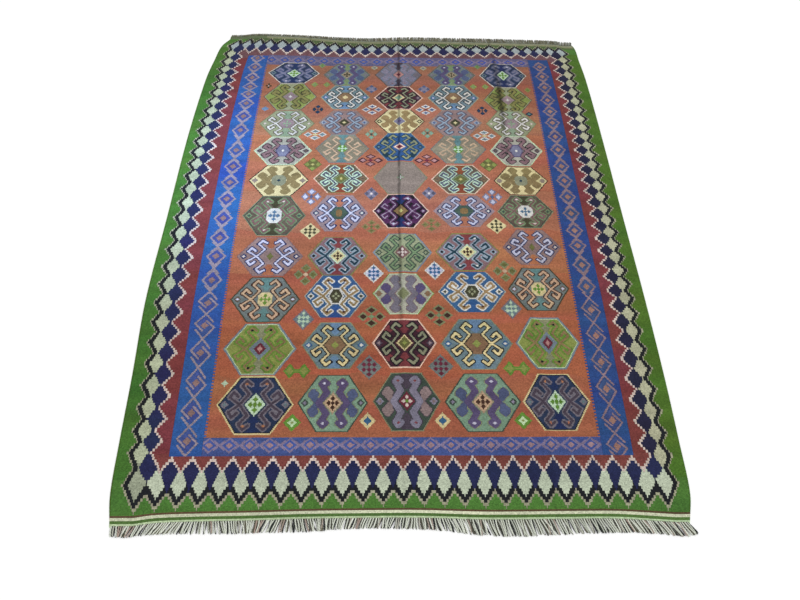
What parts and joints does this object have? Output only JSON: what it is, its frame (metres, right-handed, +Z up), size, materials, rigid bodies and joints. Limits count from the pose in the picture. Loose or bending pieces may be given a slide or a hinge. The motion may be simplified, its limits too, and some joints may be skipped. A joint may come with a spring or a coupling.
{
  "type": "kilim rug",
  "caption": "Flat rectangular flatwoven wool rug with slightly waved edges, low lengthwise storage creases and a short fringe along each narrow end, laid flat on a floor.",
  "frame": {"origin": "middle of the rug's box in X and Y, on the floor that it lies on", "axes": "+X across the rug, +Y along its length away from the viewer, +Z up"},
  "size_m": [2.151, 3.0356, 0.0124],
  "materials": {
    "woven_wool": "matt slit-tapestry weave of dyed wool, with terracotta, blue, green, navy and cream yarns",
    "fringe_wool": "matt twisted undyed wool warps"
  },
  "bodies": {
    "root": {"kilim": "woven_wool", "fringe_near": "fringe_wool", "fringe_far": "fringe_wool"}
  },
  "joints": []
}
